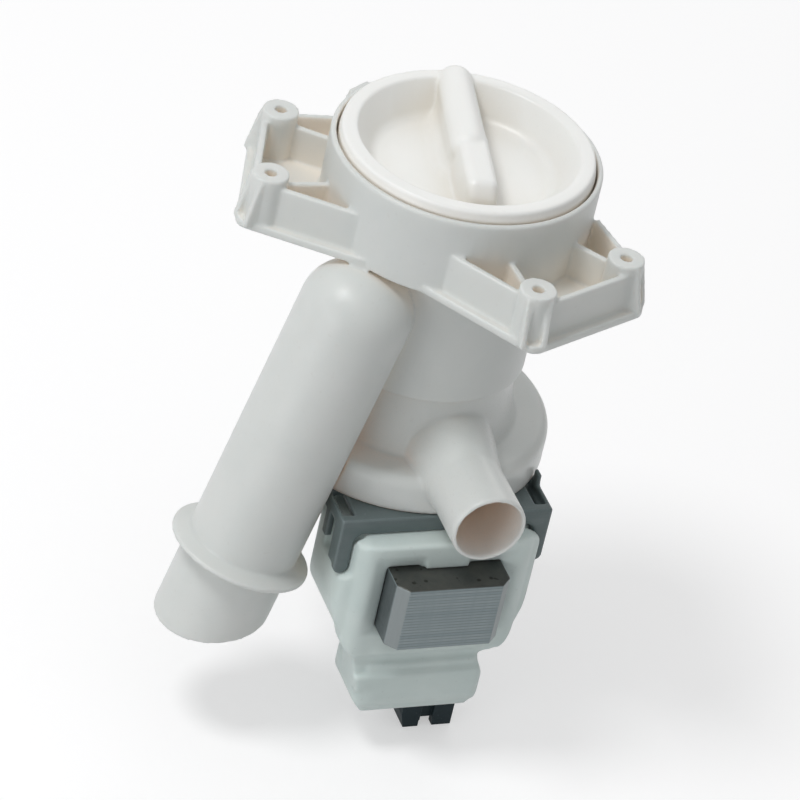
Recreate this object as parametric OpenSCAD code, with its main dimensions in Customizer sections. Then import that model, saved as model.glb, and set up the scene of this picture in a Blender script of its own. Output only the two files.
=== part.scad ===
// Drain pump of a washing machine, with its lint filter and its screw cap.
// The origin lies on the filter's axis, in the plane of the tops of the four screw bosses.
// +Z runs out through the cap, -Y is the way the outlet spigot points.

/* [Filter housing] */
// Outside radius of the collar that takes the cap
collar_r = 38.5; // [37.5:0.25:40]
// Wall of the collar
collar_wall = 1.6; // [1.2:0.1:2.2]
// Height of the collar's lip above the boss tops
collar_rise = 8.25; // [6:0.25:11]
// Depth of the mounting plate's underside below the boss tops
flange_depth = 16.75; // [15:0.25:20]
// Thickness of the mounting plate
plate_t = 2.5; // [2:0.25:3.5]
// Outside radius of the sump
sump_r = 29.6; // [28.6:0.2:31]
// Wall of the sump
sump_wall = 3; // [2.8:0.1:3.6]
// Length of the sump below the mounting plate
sump_h = 41.5; // [38:0.5:50]
// Width of the two-step lug on the collar
lug_w = 11; // [8:0.5:14]
// Direction of the lug seen from the filter's axis
lug_angle = 121; // [105:1:135]

/* [Mounting flange] */
// Front bosses, distance ahead of the filter's axis
front_boss_x = 37.3; // [36:0.1:39]
// Front bosses, distance to each side
front_boss_y = 41.2; // [39:0.1:44]
// Back bosses, distance ahead of the filter's axis
back_boss_x = 6.7; // [4:0.1:9]
// Back bosses, distance to each side
back_boss_y = 54.1; // [52:0.1:58]
// Outside radius of a screw boss
boss_r = 5.2; // [4.5:0.1:5.5]
// Radius of a screw boss's pilot hole
boss_hole_r = 1.7; // [1.2:0.1:2.4]
// Slant of the plate's front edge
front_slant = 9.9; // [6:0.1:14]
// Slant of the plate's back edge
back_slant = 37.4; // [30:0.1:42]
// Distance from a front boss's centre to the plate's front edge
front_margin = 5.8; // [5.6:0.1:7]
// Distance from the bosses' centres to the plate's outer edge
outer_margin = 7.3; // [6.5:0.1:9]
// Distance from a back boss's centre to the plate's back edge
back_margin = 6.75; // [6:0.05:8]
// Rounding of the plate's corners
corner_r = 4; // [2:0.25:6]
// Thickness of the flange's ribs
rib_t = 1.8; // [1.4:0.1:2.4]
// Drop of the rib tops below the boss tops
rib_drop = 2.4; // [1.5:0.1:5]
// Distance of the front and outer ribs from the plate's edge
rib_inset = 3.5; // [2.5:0.1:4.5]
// Distance of the back ribs from the plate's edge
back_rib_inset = 1.65; // [1:0.05:3]
// Extra drop of the back ribs below the other ribs
back_rib_drop = 2.6; // [0:0.1:4]
// Clear space between the two fins of a boss's gusset
fin_gap = 4; // [3:0.1:5]

/* [Inlet pipe] */
// Outside radius of the inlet pipe
inlet_r = 16.2; // [15.9:0.1:17]
// Wall of the inlet pipe
inlet_wall = 2.8; // [2.4:0.1:3.2]
// Distance from the filter's axis to the pipe's domed end
inlet_reach = 38.5; // [38:0.25:39.5]
// Direction of the domed end seen from the filter's axis
inlet_bearing = 211.3; // [205:0.1:218]
// Depth of the domed end's centre below the boss tops
inlet_drop = 34; // [33:0.25:36]
// Tilt of the pipe away from the filter's axis
inlet_tilt = 15.1; // [12:0.1:18]
// Direction in which the pipe tilts
inlet_heading = 189.7; // [185:0.1:200]
// Length of the pipe from the domed end's centre to the middle of its mouth
inlet_len = 101.6; // [95:0.1:112]
// Slant of the mouth's cut
mouth_slant = 20; // [0:0.5:25]
// Radius of the stub that the tub hose fits over
inlet_stub_r = 15.8; // [15:0.1:15.9]
// Wall of the stub
stub_wall = 1.9; // [1.5:0.1:2.2]
// Length of the stub from the stop ring to the middle of the mouth
inlet_stub_h = 22.2; // [18:0.1:30]
// Outside radius of the hose stop ring
stop_ring_r = 20.75; // [18.5:0.25:23]
// Thickness of the stop ring at its edge
stop_ring_t = 1.2; // [1:0.1:2]
// Rise of the stop ring's upper cone
stop_ring_rise = 2; // [1:0.1:3]
// Radius of the passage from the pipe into the sump
port_r = 9.4; // [8:0.1:9.8]

/* [Pump chamber] */
// Inward step of the seam under the sump
seam_step = 2.1; // [1.8:0.1:2.4]
// Wall of the chamber's neck
neck_wall = 2.5; // [2:0.1:3]
// Height of the neck
neck_h = 19.5; // [17:0.25:24]
// Growth of the neck's radius down to the drum
neck_flare = 3; // [1:0.25:4.5]
// Depth of the welded socket between sump and chamber
socket_h = 6; // [4:0.25:8]
// Radius of the eye through which water reaches the impeller
eye_r = 12; // [10:0.25:14]
// Outside radius of the drum that carries the motor
drum_r = 41; // [40.5:0.25:43]
// Height of the drum
drum_h = 11.5; // [10.5:0.25:13]
// Wall of the drum
drum_wall = 2.4; // [2:0.1:3]
// Rounding of the drum's upper edge
drum_round = 3; // [1.5:0.25:4]

/* [Outlet spigot] */
// Outside radius of the outlet spigot
outlet_r = 10.9; // [10.3:0.1:11.2]
// Radius of the outlet's bore at its mouth
outlet_bore_r = 9.7; // [9.1:0.1:9.9]
// Radius of the outlet's bore at the chamber
outlet_root_r = 8.6; // [7.5:0.1:9]
// Distance from the filter's axis to the spigot's mouth
outlet_reach = 63; // [56:0.5:75]
// Sideways offset of the spigot
outlet_x = 2.25; // [0:0.25:5]
// Growth of the spigot's radius where it leaves the chamber
outlet_flare = 3; // [1:0.1:4]
// Height of the spigot's axis above the drum's upper face
outlet_lift = 0.2; // [-1:0.1:2]

/* [Cap] */
// Radial play of the cap in the collar
cap_play = 0.6; // [0.4:0.1:1]
// Height of the cap's rim above the collar's lip
cap_rise = 2.7; // [1.5:0.1:5]
// Inward step of the rim above the skirt
rim_step = 0.4; // [0.2:0.1:0.8]
// Width of the flat rim
rim_w = 4.3; // [3:0.1:5]
// Depth of the dish below the rim
dish_depth = 9.5; // [8:0.25:11]
// Radius of the dish's floor
dish_floor_r = 27.5; // [25:0.25:29]
// Rounding between the dish's floor and its wall
dish_round = 4; // [2:0.25:5]
// Thickness of the dish's floor
dish_floor_t = 2.5; // [2:0.1:3.5]
// Height of the cap from the rim to the lower edge of its plug
cap_h = 17; // [16:0.25:19]
// Width of the grip bar's thick half
grip_w = 10.5; // [8:0.25:12]
// Width of the grip bar's thin half
grip_tail_w = 8.6; // [6:0.1:9.5]
// Height of the grip bar above the rim
grip_rise = 3.2; // [2:0.1:5]
// Fillet between the grip bar's thick half and the dish's floor
grip_flare = 3.5; // [1:0.25:4]
// Turn of the grip bar away from the Y axis
grip_turn = 12.2; // [0:0.1:30]
// Height of the sealing ring
gasket_h = 2.4; // [1.8:0.1:3]

/* [Lint filter] */
// Radial play of the basket in the sump
basket_play = 0.8; // [0.5:0.1:1.5]
// Number of bars round the basket
basket_bars = 18; // [12:1:22]
// Radius of a basket bar
basket_bar_r = 1.2; // [0.9:0.1:1.5]
// Half angle of the window that faces the inlet
basket_window = 34; // [28:1:45]
// Radius of the cap's stem that the basket turns on
stem_r = 5; // [4:0.1:6]
// Running clearance of round pieces that turn in each other
running_gap = 0.05; // [0.02:0.01:0.1]

/* [Impeller] */
// Radius over the impeller's vanes
impeller_r = 21; // [18:0.25:23]
// Height of the impeller
impeller_h = 15; // [13:0.25:16]
// Number of vanes
vane_n = 4; // [3:1:6]
// Thickness of a vane
vane_t = 1.8; // [1.2:0.1:2.5]
// Outside radius of the impeller's hub
hub_r = 8.4; // [8:0.1:10]
// Half angle of the driving dog
dog_half = 18; // [12:1:25]
// Half angle of the stop inside the hub
stop_half = 20; // [12:1:25]

/* [Rotor] */
// Radius of the rotor shaft
shaft_r = 2; // [1.5:0.1:2.5]
// Radius of the magnet
magnet_r = 11.3; // [10:0.1:11.6]
// Length of the magnet
magnet_h = 24; // [20:0.5:26]
// Wall of the rotor can
can_wall = 1.1; // [0.9:0.1:1.4]
// Radius of the bearing bushes
bush_r = 4.5; // [4:0.1:5]
// Length of the bearing bushes
bush_h = 5; // [4:0.25:5.5]
// Wall of the rubber bearing seats
seat_wall = 2; // [1.5:0.1:2.5]

/* [Motor] */
// Half width of the motor bracket
bracket_w = 32; // [31.5:0.25:34]
// Distance from the rotor's axis to the bracket's front edge
bracket_front = 41.5; // [41:0.25:43]
// Distance from the rotor's axis to the bracket's back edge
bracket_back = 26; // [24:0.25:28]
// Thickness of the bracket's plate
bracket_t = 2; // [1.6:0.1:2.6]
// Depth of the bracket's skirt
bracket_skirt = 5; // [4:0.25:7]
// Reach of the front corner legs below the bracket's top
leg_h = 18.75; // [14:0.25:22]
// Width of a corner leg
leg_w = 4.6; // [4:0.1:6]
// Half width of the laminated core
core_w = 17.35; // [16.5:0.05:18]
// Radius of the bore between the core's poles
pole_bore_r = 13.7; // [13.4:0.05:14]
// Half width of the slot between the core's legs
core_slot = 7.4; // [7:0.1:8]
// Distance from the rotor's axis to the core's front face
core_front = 57; // [54:0.25:60]
// Depth of the yoke that joins the legs
yoke_t = 11; // [9:0.25:12]
// Distance from the rotor's axis to the back of the poles
core_back = 13; // [12:0.25:15]
// Height of the lamination stack
stack_h = 21.6; // [20:0.2:22]
// Number of joints that show between laminations
lamination_lines = 20; // [9:1:24]
// Chamfer of the core's front edges
core_chamfer = 3.2; // [2:0.1:4]
// Drop of the core's top below the bracket's top
core_drop = 14; // [13.5:0.25:16]
// Thickness of the copper winding
coil_t = 5; // [4:0.1:5.2]
// Half width of the stator housing
housing_w = 30.5; // [29.5:0.25:31.5]
// Half width of the housing's front frame
frame_w = 27.4; // [26.5:0.1:29]
// Depth of the housing's front frame
frame_t = 8; // [6:0.25:9]
// Height of the stator housing
housing_h = 42; // [41:0.25:44]
// Distance from the rotor's axis to the housing's front face
housing_front = 48; // [47.5:0.25:50]
// Distance from the rotor's axis to the housing's back face
housing_back = 18; // [17.5:0.25:19]
// Rounding of the housing's lower long edges
housing_round = 20; // [10:0.5:20]
// Rounding of the housing's upper long edges
housing_top_round = 8; // [5:0.5:9]

/* [Terminal box] */
// Half width of the terminal box
box_w = 20; // [18:0.2:22]
// Height of the terminal box below the stator housing
box_h = 18.2; // [15:0.1:20]
// Distance from the rotor's axis to the box's front face
box_front = 50; // [49:0.25:52]
// Depth of the terminal box
box_depth = 23; // [21:0.5:26]
// Inward step of the terminal box's waist
box_waist = 3.2; // [0.5:0.1:4]
// Sideways place of the connector
plug_x = 8.1; // [6:0.1:10]
// Width of the connector
plug_w = 16.2; // [14:0.2:18]
// Depth of the connector
plug_depth = 12; // [11:0.25:14]
// Distance from the rotor's axis to the connector's front face
plug_front = 42; // [40:0.25:44]
// Height of the connector below the terminal box
plug_h = 13.8; // [12:0.2:18]
// Width of a terminal blade
blade_w = 6.3; // [4.8:0.1:6.3]
// Thickness of a terminal blade
blade_t = 0.8; // [0.5:0.1:1]
// Spacing of the terminal blades
blade_pitch = 6.4; // [6:0.1:7]

/* [Hidden] */
$fn = 96;

// Small overlap that keeps cut faces from coinciding
eps = 0.02;

// Heights along the filter's axis
collar_top_z = collar_rise;
plate_bottom_z = -flange_depth;
plate_top_z = plate_bottom_z + plate_t;
plate_mid_z = plate_bottom_z + plate_t / 2;
seam_z = plate_bottom_z - sump_h;
drum_top_z = seam_z - neck_h;
drum_bottom_z = drum_top_z - drum_h;
bracket_bottom_z = drum_bottom_z - bracket_t;

// Filter housing
collar_bore_r = collar_r - collar_wall;
sump_bore_r = sump_r - sump_wall;
neck_r = sump_r - seam_step;
neck_bore_r = neck_r - neck_wall;
lip_round = 0.7;

// Mounting flange, in a frame whose X axis points between the two front bosses
flange_turn = -135;
front_boss = [front_boss_x, front_boss_y];
back_boss = [back_boss_x, back_boss_y];
outer_dir = unit(back_boss - front_boss);
outer_normal = [outer_dir[1], -outer_dir[0]];
front_dir = [sin(front_slant), cos(front_slant)];
front_normal = [cos(front_slant), -sin(front_slant)];
back_dir = [sin(back_slant), cos(back_slant)];
back_normal = [-cos(back_slant), sin(back_slant)];

// Inlet pipe
inlet_top = [inlet_reach * cos(inlet_bearing), inlet_reach * sin(inlet_bearing), -inlet_drop];
inlet_bore_r = inlet_r - inlet_wall;
inlet_stop = inlet_len - inlet_stub_h;
stub_top = inlet_stop + stop_ring_t;
dome_flat = 2.4;
pipe_gap = 0.5;

// Pump chamber
can_flange_t = 1.5;
can_flange_r = 29;
chamber_end_z = drum_bottom_z + can_flange_t;
eye_top_z = seam_z - 1.5;
eye_t = 2;
outlet_z = drum_top_z + outlet_lift;
gasket_groove_r = neck_bore_r + 1.2;
gasket_groove_w = 2;
gasket_groove_h = 1;
gasket_gap = 0.03;

// Cap
cap_r = collar_bore_r - cap_play;
cap_top_z = collar_top_z + cap_rise;
cap_bottom_z = cap_top_z - cap_h;
dish_z = cap_top_z - dish_depth;
plug_floor_z = dish_z - dish_floor_t;
plug_wall = 3.4;
cap_groove_z = cap_bottom_z + 1.2;
cap_groove_depth = 1.6;
gasket_r = collar_bore_r - 0.3;

// Lint filter
basket_r = sump_bore_r - basket_play;
basket_bar_ring_r = basket_r - basket_bar_r - 0.2;
basket_top_z = cap_bottom_z - 1;
basket_bottom_z = seam_z + socket_h + 0.4;
basket_h = basket_top_z - basket_bottom_z;
basket_plate_t = 2;
basket_hub_t = 3;
stem_end_z = basket_top_z - basket_hub_t - 0.3;

// Impeller and rotor
impeller_bottom_z = chamber_end_z + 1;
impeller_top_z = impeller_bottom_z + impeller_h;
hub_cavity_r = hub_r - 1.8;
hub_cavity_h = 7.5;
dog_hub_r = shaft_r + 1.8;
dog_h = 6;
shaft_top_z = impeller_top_z - 2.5;
can_r = pole_bore_r - 0.2;
can_bore_r = can_r - can_wall;
core_top_z = drum_bottom_z - core_drop;
core_bottom_z = core_top_z - stack_h;
core_mid_z = core_top_z - stack_h / 2;
magnet_top_z = core_mid_z + magnet_h / 2;
magnet_bottom_z = magnet_top_z - magnet_h;
washer_t = 0.8;
rear_bush_top_z = magnet_bottom_z - 0.3;
rear_bush_bottom_z = rear_bush_top_z - bush_h;
seat_r = bush_r + seat_wall;
seat_gap = 0.02;
can_floor_z = rear_bush_bottom_z - 0.3;
front_bush_bottom_z = magnet_top_z + 0.2 + washer_t + 0.2;
front_bush_top_z = front_bush_bottom_z + bush_h;
plug_disc_t = 2;
shaft_bottom_z = rear_bush_bottom_z + 0.2;

// Stator
leg_in = core_slot;
leg_out = core_w;
leg_mid_x = (leg_in + leg_out) / 2;
bobbin_wall = 1;
bobbin_gap = 0.15;
bobbin_flange_t = 1.2;
housing_wall = 1.5;
recess_y = core_front - yoke_t;
coil_front_y = recess_y - housing_wall - 0.1;
coil_back_y = housing_back + housing_wall + 0.1;
tube_half_h = stack_h / 2 + bobbin_gap + bobbin_wall;
housing_top_z = drum_bottom_z - bracket_skirt - 0.3;
housing_bottom_z = housing_top_z - housing_h;
coil_gap = 0.2;
leg_fillet = 3;
skirt_t = 2;
leg_gap = 0.3;
fuse_r = 2;
fuse_h = 11;
box_bottom_z = housing_bottom_z - box_h;
plug_bottom_z = box_bottom_z - plug_h;
blade_front_y = plug_front - (plug_depth - blade_w) / 2;

function unit(v) = v / norm(v);
function line_meet(p, u, q, v) = p + u * (cross(q - p, v) / cross(u, v));
function arc(cx, cy, r, a0, a1, n) =
    [for (i = [0:n]) [cx + r * cos(a0 + (a1 - a0) * i / n), cy + r * sin(a0 + (a1 - a0) * i / n)]];

// Round solids that stand on the filter's axis
module disc(r, z0, z1) {
    translate([0, 0, z0]) cylinder(r = r, h = z1 - z0);
}

module tube(r_out, r_in, z0, z1) {
    difference() {
        disc(r_out, z0, z1);
        disc(r_in, z0 - 1, z1 + 1);
    }
}

// Box between two corners
module block(low, high) {
    translate(low) cube(high - low);
}

// Wedge of a ring, used for dogs and stops
module sector(r_in, r_out, half, z0, z1) {
    translate([0, 0, z0])
        rotate([0, 0, -half])
            rotate_extrude(angle = 2 * half)
                translate([r_in, 0]) square([r_out - r_in, z1 - z0]);
}

// Filter housing: collar, lug and sump. The flange's wings and the inlet pipe are of the same moulding
module filter_housing() {
    color([0.93, 0.92, 0.90])
        difference() {
            collar_and_sump();
            disc(collar_bore_r, plate_top_z, collar_top_z + 1);
            disc(sump_bore_r, seam_z + socket_h - 1, plate_top_z + 1);
            disc(neck_r + seat_gap, seam_z - 1, seam_z + socket_h);
            inlet_pipe_inside();
        }
}

module collar_and_sump() {
    rotate_extrude()
        polygon(concat(
            [[0, seam_z], [sump_r, seam_z], [sump_r, plate_bottom_z], [collar_r, plate_bottom_z]],
            arc(collar_r - lip_round, collar_top_z - lip_round, lip_round, 0, 90, 4),
            [[0, collar_top_z]]));
    rotate([0, 0, lug_angle]) collar_lug();
}

// Two-step lug beside the lip, where the appliance's panel clips on
module collar_lug() {
    block([collar_r - 1, -lug_w / 2, -1], [collar_r + 1.6, lug_w / 2, collar_top_z - 2.4]);
    block([collar_r - 1, -lug_w / 4, -1], [collar_r + 1.2, lug_w / 2, collar_top_z - 0.6]);
}

// Wings of the mounting flange, mirrored about the flange's own X axis
module flange_right() {
    flange_side(0);
}

module flange_left() {
    flange_side(1);
}

module flange_side(side) {
    color([0.93, 0.92, 0.90])
        difference() {
            rotate([0, 0, flange_turn])
                mirror([0, side, 0])
                    difference() {
                        flange_wing();
                        boss_holes();
                    }
            disc(collar_r, plate_bottom_z - 1, collar_top_z);
        }
}

// One wing before its holes: plate, ribs, bosses and gussets
module flange_wing() {
    front_corner = line_meet(front_boss + front_margin * front_normal, front_dir,
                             front_boss + outer_margin * outer_normal, outer_dir);
    back_corner = line_meet(back_boss + back_margin * back_normal, back_dir,
                            back_boss + outer_margin * outer_normal, outer_dir);
    front_root = line_meet(front_corner, front_dir, [0, 0], [1, 0]);
    back_root = line_meet(back_corner, back_dir, [0, 0], [-back_dir[1], back_dir[0]]);
    translate([0, 0, plate_bottom_z])
        linear_extrude(plate_t)
            plate_outline(back_root, back_corner, front_corner, front_root);
    ribs();
    gusset(front_boss, atan2(front_corner[1] - front_boss[1], front_corner[0] - front_boss[0]),
           norm(front_corner - front_boss) - corner_r * 0.3);
    gusset(back_boss, atan2(back_corner[1] - back_boss[1], back_corner[0] - back_boss[0]),
           norm(back_corner - back_boss) - corner_r * 0.3);
    for (at = [front_boss, back_boss])
        translate([at[0], at[1], plate_mid_z]) cylinder(r = boss_r, h = -plate_mid_z);
}

// Plate outline with its two outer corners rounded by true arcs
module plate_outline(back_root, back_corner, front_corner, front_root) {
    front_u = unit(front_root - front_corner);
    back_u = unit(back_root - back_corner);
    front_cut = corner_r / tan(acos(front_u * outer_dir) / 2);
    back_cut = corner_r / tan(acos(back_u * -outer_dir) / 2);
    front_a = front_corner + front_cut * front_u;
    front_b = front_corner + front_cut * outer_dir;
    back_a = back_corner - back_cut * outer_dir;
    back_b = back_corner + back_cut * back_u;
    polygon([[0, 0], front_root, front_a, front_b, back_a, back_b, back_root]);
    translate(front_b - corner_r * outer_normal) circle(r = corner_r);
    translate(back_a - corner_r * outer_normal) circle(r = corner_r);
}

// Straight rib between two points of the flange's frame
module rib(from, to, top_z) {
    way = to - from;
    translate([from[0], from[1], plate_mid_z])
        rotate([0, 0, atan2(way[1], way[0])])
            translate([0, -rib_t / 2, 0]) cube([norm(way), rib_t, top_z - plate_mid_z]);
}

module ribs() {
    top_z = -rib_drop;
    front_off = (front_margin - rib_inset) * front_normal;
    outer_off = (outer_margin - rib_inset) * outer_normal;
    back_off = (back_margin - back_rib_inset) * back_normal;
    hold_r = collar_r - collar_wall / 2;
    rib(front_boss + front_off, front_boss + front_off - front_dir * (front_boss_y - 9), top_z);
    rib(front_boss + outer_off, back_boss + outer_off, top_z);
    rib(back_boss + back_off, back_boss + back_off - back_dir * (norm(back_boss) - hold_r + 8),
        top_z - back_rib_drop);
    rib(front_boss, unit(front_boss) * hold_r, top_z - 1.2);
    rib(back_boss, unit(back_boss) * hold_r, top_z - 1.2);
}

// Pair of fins that run from a boss out and down to the plate's edge
module gusset(at, turn, reach) {
    translate([at[0], at[1], 0])
        rotate([0, 0, turn])
            for (side = [-1, 1])
                translate([0, side * (fin_gap + rib_t) / 2 + rib_t / 2, 0])
                    rotate([90, 0, 0])
                        linear_extrude(rib_t)
                            polygon([[0, plate_mid_z], [reach, plate_mid_z],
                                     [reach, plate_top_z], [boss_r - 0.6, -1], [0, -1]]);
}

module boss_holes() {
    for (at = [front_boss, back_boss])
        translate([at[0], at[1], plate_bottom_z - 1]) cylinder(r = boss_hole_r, h = flange_depth + 2);
}

// The pipe's own frame starts at the dome's centre and runs down to the mouth
module on_inlet() {
    translate(inlet_top) rotate([0, 180 - inlet_tilt, inlet_heading]) children();
}

// Half section of a round-cornered dome with a small flat, and of the straight round bar that follows it
module dome_profile(r, flat, end) {
    translate([0, -r]) square([flat, end + r]);
    translate([0, -flat]) square([r, end + flat]);
    intersection() {
        translate([flat, -flat]) circle(r = r - flat);
        translate([0, -r - 1]) square([r + 1, r + 2]);
    }
}

// Inlet pipe: domed pipe with a stop ring, cut where it stands on the sump
module inlet_pipe() {
    color([0.93, 0.92, 0.90])
        difference() {
            inlet_pipe_outside();
            inlet_pipe_inside();
            disc(sump_r, seam_z, plate_bottom_z);
        }
}

module inlet_pipe_outside() {
    ring_top = inlet_stop - stop_ring_rise;
    on_inlet()
        difference() {
            rotate_extrude() {
                dome_profile(inlet_r, dome_flat, ring_top);
                polygon([[0, ring_top - 1], [inlet_r, ring_top - 1], [inlet_r, ring_top],
                         [inlet_r + 0.4, ring_top], [stop_ring_r, inlet_stop], [stop_ring_r, stub_top],
                         [inlet_stub_r, stub_top], [inlet_stub_r, inlet_len + stop_ring_r],
                         [0, inlet_len + stop_ring_r]]);
            }
            translate([0, 0, inlet_len])
                rotate([0, mouth_slant, 0])
                    translate([-2 * inlet_r, -2 * inlet_r, 0]) cube([4 * inlet_r, 4 * inlet_r, 3 * inlet_r]);
        }
}

// Room that the drum and the bracket leave for the pipe, with a wall round it if one is asked for
module pipe_room(wall) {
    on_inlet() cylinder(r = inlet_r + pipe_gap + wall, h = inlet_stop);
}

module inlet_pipe_inside() {
    on_inlet() {
        rotate_extrude() dome_profile(inlet_bore_r, dome_flat, stub_top + 1);
        translate([0, 0, stub_top]) cylinder(r = inlet_stub_r - stub_wall, h = inlet_stub_h + 2 * inlet_r);
    }
    translate(inlet_top)
        rotate([0, 0, inlet_bearing + 180])
            rotate([0, 90, 0]) cylinder(r = port_r, h = inlet_reach - sump_bore_r + 8);
}

// Pump chamber: neck, drum and outlet spigot, one moulding
module pump_chamber() {
    color([0.92, 0.92, 0.90])
        difference() {
            union() {
                chamber_shell();
                outlet_outside();
                intersection() {
                    disc(drum_r - 0.5, drum_bottom_z, drum_top_z - 1);
                    pipe_room(drum_wall);
                }
            }
            pipe_room(0);
            disc(neck_bore_r, eye_top_z, seam_z + socket_h + 1);
            disc(eye_r, eye_top_z - eye_t - 1, eye_top_z + 1);
            disc(neck_bore_r, drum_bottom_z - 1, eye_top_z - eye_t);
            disc(can_flange_r + 0.1, drum_bottom_z - 1, chamber_end_z);
            tube(gasket_groove_r + gasket_groove_w, gasket_groove_r,
                 chamber_end_z - 1, chamber_end_z + gasket_groove_h);
            outlet_inside();
        }
}

module chamber_shell() {
    inner_r = neck_r + neck_flare;
    flare = [for (i = [0:6]) [neck_r + neck_flare * pow(i / 6, 2), seam_z - neck_h * i / 6]];
    rotate_extrude()
        polygon(concat(
            [[0, seam_z + socket_h], [neck_r, seam_z + socket_h]],
            flare,
            arc(drum_r - drum_round, drum_top_z - drum_round, drum_round, 90, 0, 5),
            [[drum_r, drum_bottom_z], [drum_r - drum_wall, drum_bottom_z],
             [drum_r - drum_wall, drum_top_z - drum_wall - 1], [drum_r - drum_wall - 1, drum_top_z - drum_wall],
             [inner_r, drum_top_z - drum_wall], [inner_r, drum_bottom_z], [0, drum_bottom_z]]));
}

module on_outlet() {
    translate([outlet_x, 0, outlet_z]) rotate([90, 0, 0]) children();
}

module outlet_outside() {
    root = neck_bore_r - 6;
    difference() {
        on_outlet()
            translate([0, 0, root]) {
                cylinder(r = outlet_r, h = outlet_reach - root - 0.5);
                cylinder(r = outlet_r - 0.4, h = outlet_reach - root);
                cylinder(r = outlet_r + outlet_flare, h = 8);
                translate([0, 0, 8]) cylinder(r1 = outlet_r + outlet_flare, r2 = outlet_r, h = drum_r - neck_bore_r);
            }
        block([-drum_r, -outlet_reach, drum_bottom_z - 10], [drum_r, 0, drum_bottom_z + 0.5]);
    }
}

module outlet_inside() {
    root = neck_bore_r - 8;
    on_outlet() {
        translate([0, 0, root]) cylinder(r = outlet_root_r, h = drum_r - root);
        translate([0, 0, drum_r - eps])
            cylinder(r1 = outlet_root_r, r2 = outlet_bore_r, h = outlet_reach - drum_r - 12 + 2 * eps);
        translate([0, 0, outlet_reach - 12]) cylinder(r = outlet_bore_r, h = 13);
    }
}

// Screw cap: dished lid with a grip bar, plug skirt and stem
module filter_cap() {
    color([0.94, 0.93, 0.91]) {
        difference() {
            cap_shell();
            tube(cap_r + 1, cap_r - cap_groove_depth, cap_groove_z, cap_groove_z + gasket_h + 0.1);
        }
        grip_bar();
        disc(stem_r, stem_end_z, plug_floor_z + 1);
        disc(stem_r + 2, basket_top_z + 0.1, plug_floor_z + 1);
        disc(stem_r + 1, stem_end_z - 1.5, stem_end_z);
    }
}

module cap_shell() {
    rim_r = cap_r - rim_step;
    rotate_extrude()
        polygon(concat(
            [[0, dish_z], [dish_floor_r - dish_round, dish_z]],
            arc(dish_floor_r - dish_round, dish_z + dish_round, dish_round, -90, -32, 5),
            [[rim_r - rim_w, cap_top_z]],
            arc(rim_r - 0.8, cap_top_z - 0.8, 0.8, 90, 0, 4),
            [[rim_r, collar_top_z + 0.6], [cap_r, collar_top_z + 0.2], [cap_r, cap_bottom_z],
             [cap_r - plug_wall, cap_bottom_z], [cap_r - plug_wall, plug_floor_z - 1],
             [cap_r - plug_wall - 1, plug_floor_z], [0, plug_floor_z]]));
}

// Grip bar: a thick half with domed ends and flared sides, and a thinner half in front of it
module grip_bar() {
    half = grip_w / 2;
    top_z = cap_top_z + grip_rise;
    far_y = cap_r - half;
    tail_shift = 0.7;
    rotate([0, 0, -grip_turn]) {
        translate([0, far_y, top_z - half])
            rotate([90, 0, 0])
                rotate_extrude()
                    intersection() {
                        dome_profile(half, 1, far_y + half);
                        translate([0, far_y]) mirror([0, 1]) dome_profile(half, 1, far_y + half);
                    }
        translate([0, far_y - 0.6, dish_z - 1]) cylinder(r = half - 0.6, h = top_z - half - dish_z + 1);
        translate([0, far_y, 0])
            rotate([90, 0, 0])
                linear_extrude(far_y) {
                    grip_flank(half, top_z);
                    mirror([1, 0]) grip_flank(half, top_z);
                }
        rotate_extrude() grip_flank(half - seat_gap, top_z);
        translate([tail_shift, 0, 0]) grip_tail(grip_tail_w / 2, -dish_floor_r - 0.3, top_z - 1.2);
    }
}

// Half section of the thick grip's flank, with a hollow fillet down to the dish's floor
module grip_flank(half, top_z) {
    polygon(concat(
        [[0, dish_z - 1], [half + grip_flare, dish_z - 1]],
        arc(half + grip_flare, dish_z + grip_flare + 0.2, grip_flare, 270, 180, 6),
        [[half - 0.3, top_z - half + 1], [0, top_z - half + 1]]));
}

// Thin half of the grip: a bar with rounded long edges and a sloped, rounded end
module grip_tail(half, near_y, top_z) {
    edge = 2.2;
    hull() {
        for (side = [-1, 1]) {
            for (y = [0, near_y + 5.2])
                translate([side * (half - edge), y, top_z - edge]) sphere(r = edge, $fn = 24);
            translate([side * (half - edge), near_y + 3.4, top_z - 5]) sphere(r = edge, $fn = 24);
            for (y = [0, near_y + edge])
                translate([side * (half - edge + 0.8), y, dish_z - 1]) cylinder(r = edge, h = 1, $fn = 24);
        }
    }
}

module cap_gasket() {
    color([0.25, 0.25, 0.26])
        tube(gasket_r, cap_r - cap_groove_depth + 0.03, cap_groove_z + 0.05, cap_groove_z + 0.05 + gasket_h);
}

// Lint basket: spoked top on the cap's stem, a cage of bars, a cross at the foot
module lint_filter() {
    step = 360 / basket_bars;
    color([0.90, 0.90, 0.88])
        difference() {
            union() {
                disc(stem_r + 3, basket_top_z - basket_hub_t, basket_top_z);
                tube(basket_r, basket_r - 3, basket_top_z - basket_plate_t, basket_top_z);
                tube(basket_r, basket_r - 3, basket_bottom_z, basket_bottom_z + basket_plate_t);
                for (turn = [0:60:359]) basket_spoke(turn, basket_top_z - basket_plate_t);
                for (turn = [0:60:359]) basket_spoke(turn, basket_bottom_z);
                disc(stem_r + 2, basket_bottom_z, basket_bottom_z + basket_plate_t);
                for (i = [0:basket_bars - 1])
                    if (abs((i * step - inlet_bearing + 540) % 360 - 180) > basket_window)
                        rotate([0, 0, i * step])
                            translate([basket_bar_ring_r, 0, basket_bottom_z + 0.5])
                                cylinder(r = basket_bar_r, h = basket_h - 1, $fn = 24);
            }
            disc(stem_r + running_gap, basket_top_z - 4, basket_top_z + 1);
        }
}

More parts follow.
